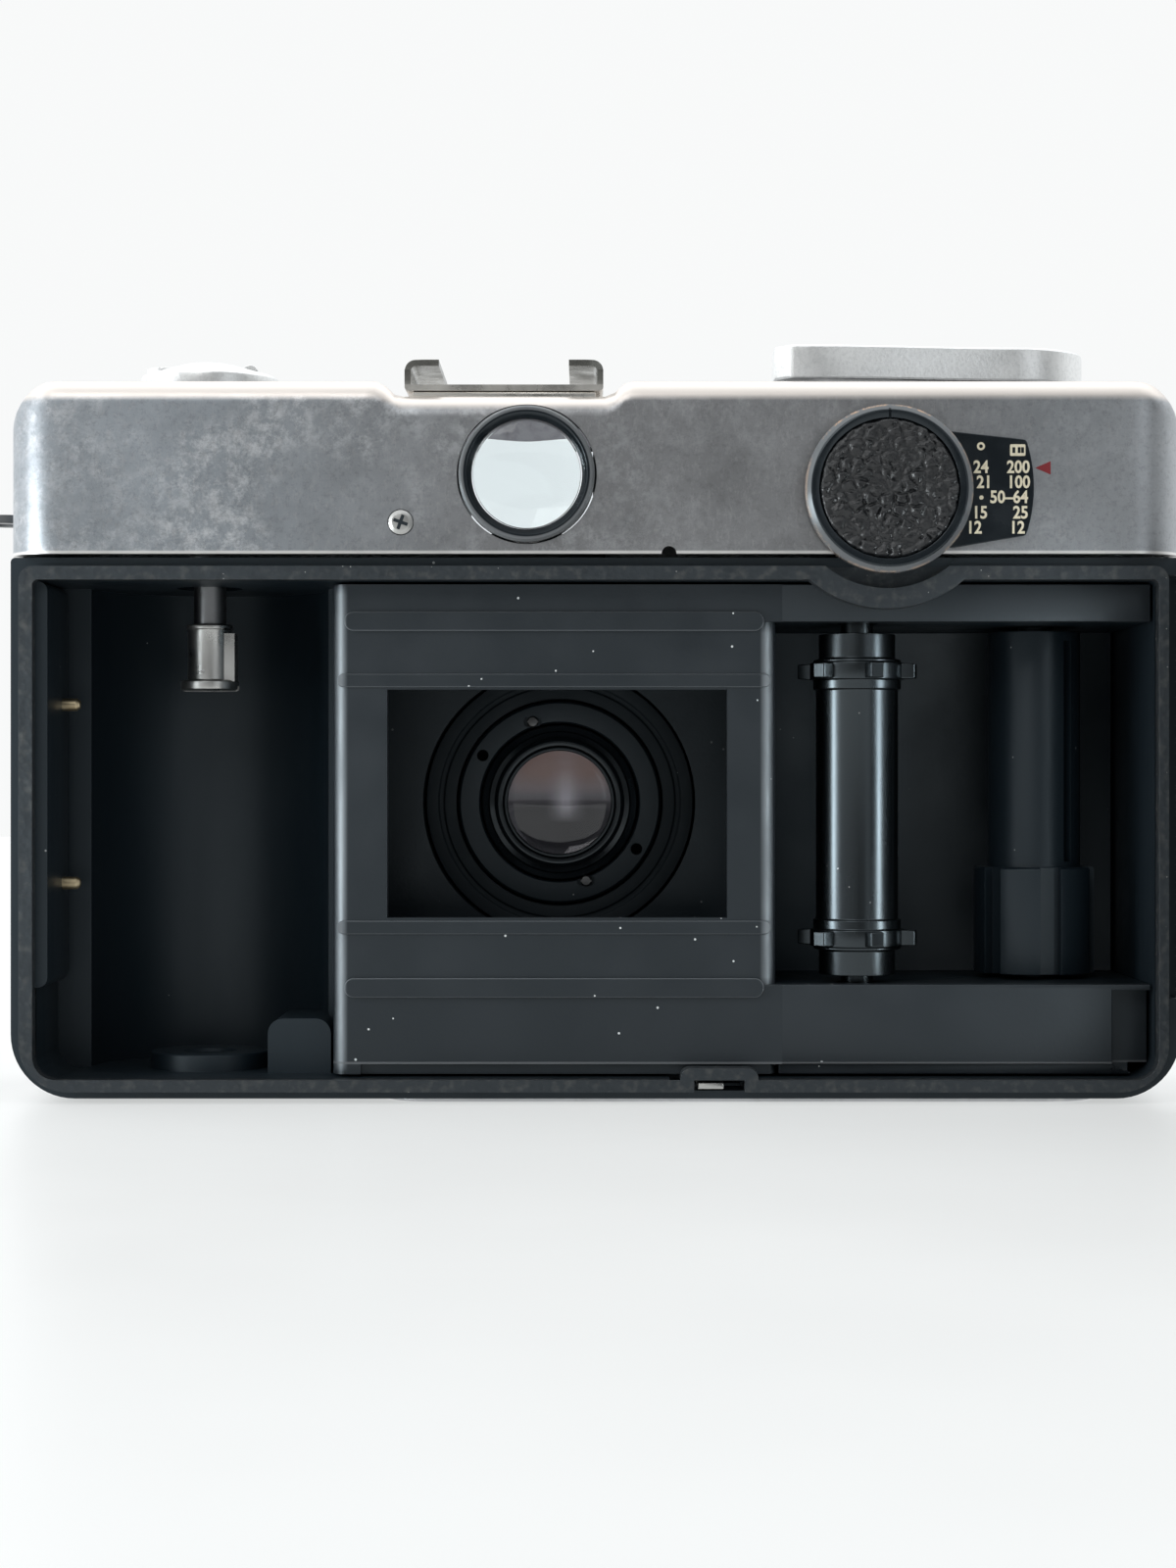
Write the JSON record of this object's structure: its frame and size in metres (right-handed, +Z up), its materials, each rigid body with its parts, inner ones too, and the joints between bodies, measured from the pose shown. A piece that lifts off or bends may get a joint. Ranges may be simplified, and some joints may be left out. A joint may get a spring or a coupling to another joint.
{
  "type": "35 mm viewfinder camera",
  "caption": "Compact metal and black 35 mm viewfinder camera with its hinged back open, showing the film chambers, gate, sprocket and spool.",
  "frame": {"origin": "centre of the bottom cover's underside, where the camera stands", "axes": "+Z up, +X to the right as seen from behind, +Y along the lens axis towards the front"},
  "size_m": [0.176, 0.1698, 0.0801],
  "materials": {
    "black_plastic": "matte black moulded plastic and paint, faint dust",
    "gloss_black": "gloss black enamel",
    "satin_chrome": "satin chrome with a fine brushed grain and pale bloom",
    "nickel": "worn satin nickel",
    "dark_steel": "blackened steel",
    "brass": "plated brass, slightly worn",
    "glass": "clear polished glass",
    "leatherette": "black grained leatherette"
  },
  "bodies": {
    "camera_body": {"body_casting": "black_plastic", "film_gate_frame": "black_plastic", "takeup_chamber_frame": "black_plastic", "top_cover": "satin_chrome", "bottom_cover": "satin_chrome", "tripod_bush": "nickel", "front_leatherette": "leatherette", "strap_lug_left": "dark_steel", "strap_lug_right": "dark_steel", "sync_socket": "nickel", "accessory_shoe": "nickel", "shoe_seat_plate": "nickel", "hinge_pin": "dark_steel", "eyepiece_ring": "gloss_black", "eyepiece_lens": "glass", "viewfinder_housing": "black_plastic", "viewfinder_front_lens": "glass", "front_window_bezel": "gloss_black", "meter_window": "glass", "meter_cell": "dark_steel", "release_collar": "nickel", "counter_window": "glass", "cassette_pin_upper": "brass", "cassette_pin_lower": "brass", "lens_flange": "satin_chrome", "lens_barrel": "black_plastic", "filter_ring": "satin_chrome", "front_cone": "black_plastic", "front_element": "glass", "shutter_housing": "black_plastic", "shutter_back_plate": "black_plastic", "lens_lock_ring": "gloss_black", "rear_lens_cell": "gloss_black", "rear_element": "glass"},
    "back_door": {"back_door": "black_plastic", "door_leatherette": "leatherette", "door_tongue": "dark_steel", "pressure_plate_spring": "nickel"},
    "pressure_plate": {"pressure_plate": "gloss_black"},
    "film_roller": {"film_roller": "nickel"},
    "winding_lever": {"winding_lever": "satin_chrome", "lever_cap": "nickel"},
    "film_sprocket": {"film_sprocket": "gloss_black"},
    "takeup_spool": {"takeup_spool": "black_plastic"},
    "frame_counter": {"counter_disc": "satin_chrome"},
    "release_button": {"release_button": "satin_chrome"},
    "rewind_lift": {"rewind_lift_collar": "brass"},
    "rewind_spindle": {"rewind_knob": "satin_chrome", "rewind_shaft": "nickel", "rewind_fork": "nickel"},
    "rewind_crank": {"rewind_crank": "satin_chrome"},
    "film_speed_dial": {"film_speed_dial": "gloss_black", "film_speed_disc": "leatherette", "film_speed_plate": "black_plastic"},
    "focus_ring": {"focus_ring": "gloss_black"},
    "aperture_ring": {"aperture_ring": "satin_chrome"},
    "door_latch": {"latch_slider": "nickel"},
    "rewind_release": {"rewind_release_button": "nickel"},
    "shutter_blade_upper": {"shutter_blade_upper": "dark_steel"},
    "shutter_blade_lower": {"shutter_blade_lower": "dark_steel"}
  },
  "joints": [
    {"name": "back_door_hinge", "type": "hinge", "parent": "camera_body", "child": "back_door", "pos_m": [0.0624, -0.0158, 0.033], "axis": [0, 0, 1], "range_deg": [-110, 0]},
    {"name": "pressure_plate_spring_travel", "type": "slide", "parent": "back_door", "child": "pressure_plate", "axis": [0.9397, 0.342, 0], "range_m": [0, 0.0008], "stiffness_N_per_m": 600, "springref_m": -0.0005},
    {"name": "film_roller_spin", "type": "hinge", "parent": "back_door", "child": "film_roller", "pos_m": [0.07676, -0.05058, 0.03], "axis": [0, 0, 1], "continuous": true},
    {"name": "winding_lever_stroke", "type": "hinge", "parent": "camera_body", "child": "winding_lever", "pos_m": [0.045, 0, 0.077], "axis": [0, 0, 1], "range_deg": [0, 160], "stiffness_Nm_per_rad": 0.012, "springref_deg": -17.19},
    {"name": "sprocket_turn", "type": "hinge", "parent": "camera_body", "child": "film_sprocket", "pos_m": [0.0278, -0.0085, 0.031], "axis": [0, 0, 1], "range_deg": [0, 480]},
    {"name": "spool_turn", "type": "hinge", "parent": "camera_body", "child": "takeup_spool", "pos_m": [0.0479, 0, 0.031], "axis": [0, 0, 1], "range_deg": [0, 436]},
    {"name": "frame_counter_turn", "type": "hinge", "parent": "camera_body", "child": "frame_counter", "pos_m": [0.031, 0.0095, 0.072], "axis": [0, 0, 1], "range_deg": [0, 9.1]},
    {"name": "shutter_release_press", "type": "slide", "parent": "camera_body", "child": "release_button", "axis": [0, 0, -1], "range_m": [0, 0.0018], "stiffness_N_per_m": 300, "springref_m": -0.001},
    {"name": "rewind_knob_lift", "type": "slide", "parent": "camera_body", "child": "rewind_lift", "axis": [0, 0, 1], "range_m": [0, 0.0075]},
    {"name": "rewind_turn", "type": "hinge", "parent": "rewind_lift", "child": "rewind_spindle", "pos_m": [-0.0419, -0.0015, 0.06], "axis": [0, 0, 1], "continuous": true},
    {"name": "rewind_crank_fold", "type": "hinge", "parent": "rewind_spindle", "child": "rewind_crank", "pos_m": [-0.0373, -0.0015, 0.0776], "axis": [0, 1, 0], "range_deg": [0, 100]},
    {"name": "film_speed_set", "type": "hinge", "parent": "camera_body", "child": "film_speed_dial", "pos_m": [0.0302, -0.018, 0.0636], "axis": [0, -1, 0], "range_deg": [0, 24.3]},
    {"name": "focus_turn", "type": "hinge", "parent": "camera_body", "child": "focus_ring", "pos_m": [-0.00402, 0.022, 0.03114], "axis": [0, 1, 0], "range_deg": [0, 90]},
    {"name": "aperture_turn", "type": "hinge", "parent": "camera_body", "child": "aperture_ring", "pos_m": [-0.00402, 0.028, 0.03114], "axis": [0, 1, 0], "range_deg": [0, 60]},
    {"name": "door_latch_slide", "type": "slide", "parent": "camera_body", "child": "door_latch", "axis": [-1, 0, 0], "range_m": [0, 0.0025], "stiffness_N_per_m": 250, "springref_m": -0.001},
    {"name": "rewind_release_press", "type": "slide", "parent": "camera_body", "child": "rewind_release", "axis": [0, 0, 1], "range_m": [0, 0.0008], "stiffness_N_per_m": 300, "springref_m": -0.001},
    {"name": "shutter_blade_upper_swing", "type": "hinge", "parent": "camera_body", "child": "shutter_blade_upper", "pos_m": [-0.01502, 0.021, 0.03124], "axis": [0, -1, 0], "range_deg": [0, 36]},
    {"name": "shutter_blade_lower_swing", "type": "hinge", "parent": "camera_body", "child": "shutter_blade_lower", "pos_m": [-0.01502, 0.022, 0.03104], "axis": [0, 1, 0], "range_deg": [0, 36]}
  ],
  "couplings": [
    {"joint": "sprocket_turn", "follows": "winding_lever_stroke", "ratio": 3},
    {"joint": "spool_turn", "follows": "winding_lever_stroke", "ratio": 2.72},
    {"joint": "frame_counter_turn", "follows": "winding_lever_stroke", "ratio": 0.05625},
    {"joint": "shutter_blade_lower_swing", "follows": "shutter_blade_upper_swing", "ratio": 1}
  ]
}
